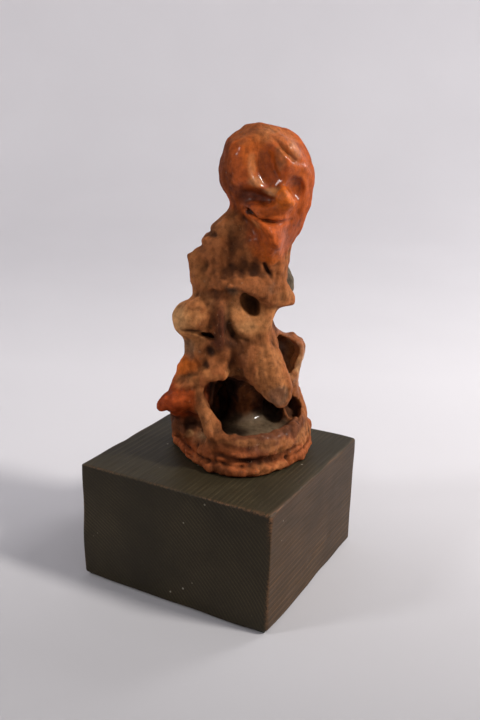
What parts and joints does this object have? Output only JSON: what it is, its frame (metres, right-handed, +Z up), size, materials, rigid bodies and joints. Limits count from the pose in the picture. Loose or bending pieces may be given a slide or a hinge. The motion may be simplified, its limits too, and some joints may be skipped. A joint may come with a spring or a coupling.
{
  "type": "fired clay stump figure on wood block",
  "caption": "Hand-built fired-clay figure shaped like a knotted tree stump, with an open hollow, knobs, a horn and a lump of a head, standing on a dark square wood block.",
  "frame": {"origin": "centre of the square underside of the wood block, on its felt", "axes": "+Z up; the block is square to X and Y; the figure is turned on it so that its front faces between -Y and +X"},
  "size_m": [0.1524, 0.1524, 0.3295],
  "materials": {
    "wood": "satin",
    "felt": "matte",
    "steel": "satin",
    "plaster": "matte",
    "clay_orange": "satin",
    "clay_bark": "matte",
    "clay_tan": "satin",
    "clay_stained": "satin",
    "clay_glaze": "gloss"
  },
  "bodies": {
    "root": {"base_felt": "felt", "plinth_block": "wood", "mounting_stud": "steel", "stud_washer": "steel", "stud_nut": "steel", "anchor_plug": "plaster", "nose_knob": "clay_orange", "brow_fold": "clay_orange", "eye_ring": "clay_orange", "upper_lip": "clay_orange", "chin_tongue": "clay_orange", "head": "clay_orange", "neck": "clay_orange", "shoulder_knob": "clay_bark", "left_spur": "clay_bark", "shoulder_ledge": "clay_bark", "rear_knob": "clay_bark", "left_bulb": "clay_tan", "lower_egg": "clay_tan", "cup": "clay_tan", "centre_ridge": "clay_bark", "hem": "clay_bark", "upper_trunk": "clay_bark", "root_limb": "clay_tan", "knuckle": "clay_stained", "shell_wall": "clay_glaze", "leaf": "clay_orange", "horn_tip": "clay_orange", "horn_body": "clay_orange", "pinch_fold": "clay_tan", "left_pillar": "clay_stained", "basin_lip": "clay_tan", "right_ear": "clay_bark", "side_wall": "clay_stained", "inner_column": "clay_stained", "rear_root": "clay_bark", "rear_buttress": "clay_bark", "rear_ridge": "clay_bark", "lower_torso": "clay_stained", "foot_slab": "clay_orange", "foot_coil": "clay_orange", "basin_floor": "clay_glaze", "back_wall": "clay_stained"}
  },
  "joints": []
}
